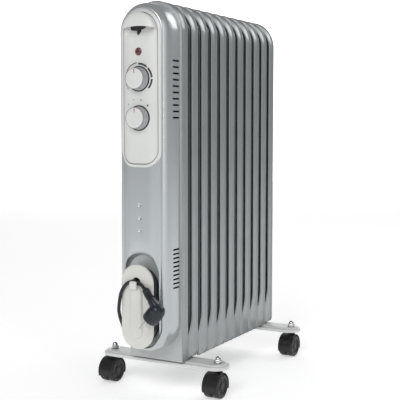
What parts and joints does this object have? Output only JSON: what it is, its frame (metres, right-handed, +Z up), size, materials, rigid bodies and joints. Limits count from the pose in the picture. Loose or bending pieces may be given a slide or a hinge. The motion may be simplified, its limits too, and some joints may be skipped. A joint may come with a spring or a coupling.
{
  "type": "oil filled radiator heater",
  "caption": "Oil filled radiator heater with pressed fins, a front control casing with a cord winder, foot bars and twin-wheel casters.",
  "frame": {"origin": "on the floor under the middle of the heater's box, cord and plug left out", "axes": "+Z up, the controls face -Y, the row of fins runs along Y, X is the width"},
  "size_m": [0.2356, 0.4467, 0.6345],
  "materials": {
    "fin_paint": "satin grey enamel",
    "casing_paint": "silver-grey metallic paint",
    "plate_paint": "light grey enamel",
    "white_plastic": "moulded, satin",
    "knob_plastic": "moulded, satin",
    "bar_paint": "white powder coat",
    "black_plastic": "moulded",
    "caster_plastic": "moulded nylon",
    "wheel_plastic": "moulded nylon",
    "cord_pvc": "smooth flexible sheath",
    "plug_pvc": "moulded, finely textured",
    "chrome": "polished",
    "steel": "zinc plated",
    "brass": "turned",
    "lens_red": "translucent red",
    "phenolic": "moulded phenolic"
  },
  "bodies": {
    "heater": {"fin_01": "fin_paint", "fin_02": "fin_paint", "fin_03": "fin_paint", "fin_04": "fin_paint", "fin_05": "fin_paint", "fin_06": "fin_paint", "fin_07": "fin_paint", "fin_08": "fin_paint", "fin_09": "fin_paint", "fin_10": "fin_paint", "fin_11": "fin_paint", "oil_filler_plug": "steel", "heating_element": "steel", "element_flange": "steel", "front_casing": "casing_paint", "back_plate": "plate_paint", "panel_bezel": "white_plastic", "control_panel": "white_plastic", "winder_spool": "white_plastic", "winder_disc": "white_plastic", "thermostat_switch": "phenolic", "selector_switch": "phenolic", "indicator_lens": "lens_red", "indicator_lamp": "black_plastic", "tilt_switch_box": "black_plastic", "thermal_cutout": "phenolic", "cord_winding": "cord_pvc", "cord_lead": "cord_pvc", "cord_strain_relief": "cord_pvc", "plug": "plug_pvc", "foot_bar_front": "bar_paint", "u_bolt_front": "steel", "foot_bar_rear": "bar_paint", "u_bolt_rear": "steel", "wing_nut_front_left": "steel", "dome_nut_front_left": "chrome", "wing_nut_front_right": "steel", "dome_nut_front_right": "chrome", "wing_nut_rear_left": "steel", "dome_nut_rear_left": "chrome", "wing_nut_rear_right": "steel", "dome_nut_rear_right": "chrome"},
    "thermostat_dial": {"thermostat_knob": "knob_plastic", "thermostat_shaft": "steel"},
    "selector_dial": {"selector_knob": "knob_plastic", "selector_shaft": "steel"},
    "tilt_weight": {"tilt_pendulum": "brass"},
    "caster_front_left_swivel": {"caster_front_left": "caster_plastic"},
    "wheel_front_left_left_body": {"wheel_front_left_left": "wheel_plastic"},
    "wheel_front_left_right_body": {"wheel_front_left_right": "wheel_plastic"},
    "caster_front_right_swivel": {"caster_front_right": "caster_plastic"},
    "wheel_front_right_left_body": {"wheel_front_right_left": "wheel_plastic"},
    "wheel_front_right_right_body": {"wheel_front_right_right": "wheel_plastic"},
    "caster_rear_left_swivel": {"caster_rear_left": "caster_plastic"},
    "wheel_rear_left_left_body": {"wheel_rear_left_left": "wheel_plastic"},
    "wheel_rear_left_right_body": {"wheel_rear_left_right": "wheel_plastic"},
    "caster_rear_right_swivel": {"caster_rear_right": "caster_plastic"},
    "wheel_rear_right_left_body": {"wheel_rear_right_left": "wheel_plastic"},
    "wheel_rear_right_right_body": {"wheel_rear_right_right": "wheel_plastic"}
  },
  "joints": [
    {"name": "thermostat_turn", "type": "hinge", "parent": "heater", "child": "thermostat_dial", "pos_m": [0, -0.196, 0.5092], "axis": [0, -1, 0], "range_deg": [-135, 135]},
    {"name": "selector_turn", "type": "hinge", "parent": "heater", "child": "selector_dial", "pos_m": [0, -0.196, 0.4484], "axis": [0, -1, 0], "range_deg": [-60, 60]},
    {"name": "tilt_swing", "type": "hinge", "parent": "heater", "child": "tilt_weight", "pos_m": [0, -0.15745, 0.35], "axis": [0, -1, 0], "range_deg": [-25, 25]},
    {"name": "swivel_front_left", "type": "hinge", "parent": "heater", "child": "caster_front_left_swivel", "pos_m": [-0.1003, -0.11825, 0.045], "axis": [0, 0, 1], "continuous": true},
    {"name": "roll_front_left_left", "type": "hinge", "parent": "caster_front_left_swivel", "child": "wheel_front_left_left_body", "pos_m": [-0.1003, -0.12825, 0.01962], "axis": [1, 0, 0], "continuous": true},
    {"name": "roll_front_left_right", "type": "hinge", "parent": "caster_front_left_swivel", "child": "wheel_front_left_right_body", "pos_m": [-0.1003, -0.12825, 0.01962], "axis": [1, 0, 0], "continuous": true},
    {"name": "swivel_front_right", "type": "hinge", "parent": "heater", "child": "caster_front_right_swivel", "pos_m": [0.1003, -0.11825, 0.045], "axis": [0, 0, 1], "continuous": true},
    {"name": "roll_front_right_left", "type": "hinge", "parent": "caster_front_right_swivel", "child": "wheel_front_right_left_body", "pos_m": [0.1003, -0.12825, 0.01962], "axis": [1, 0, 0], "continuous": true},
    {"name": "roll_front_right_right", "type": "hinge", "parent": "caster_front_right_swivel", "child": "wheel_front_right_right_body", "pos_m": [0.1003, -0.12825, 0.01962], "axis": [1, 0, 0], "continuous": true},
    {"name": "swivel_rear_left", "type": "hinge", "parent": "heater", "child": "caster_rear_left_swivel", "pos_m": [-0.1003, 0.18235, 0.045], "axis": [0, 0, 1], "continuous": true},
    {"name": "roll_rear_left_left", "type": "hinge", "parent": "caster_rear_left_swivel", "child": "wheel_rear_left_left_body", "pos_m": [-0.1003, 0.17235, 0.01962], "axis": [1, 0, 0], "continuous": true},
    {"name": "roll_rear_left_right", "type": "hinge", "parent": "caster_rear_left_swivel", "child": "wheel_rear_left_right_body", "pos_m": [-0.1003, 0.17235, 0.01962], "axis": [1, 0, 0], "continuous": true},
    {"name": "swivel_rear_right", "type": "hinge", "parent": "heater", "child": "caster_rear_right_swivel", "pos_m": [0.1003, 0.18235, 0.045], "axis": [0, 0, 1], "continuous": true},
    {"name": "roll_rear_right_left", "type": "hinge", "parent": "caster_rear_right_swivel", "child": "wheel_rear_right_left_body", "pos_m": [0.1003, 0.17235, 0.01962], "axis": [1, 0, 0], "continuous": true},
    {"name": "roll_rear_right_right", "type": "hinge", "parent": "caster_rear_right_swivel", "child": "wheel_rear_right_right_body", "pos_m": [0.1003, 0.17235, 0.01962], "axis": [1, 0, 0], "continuous": true}
  ]
}
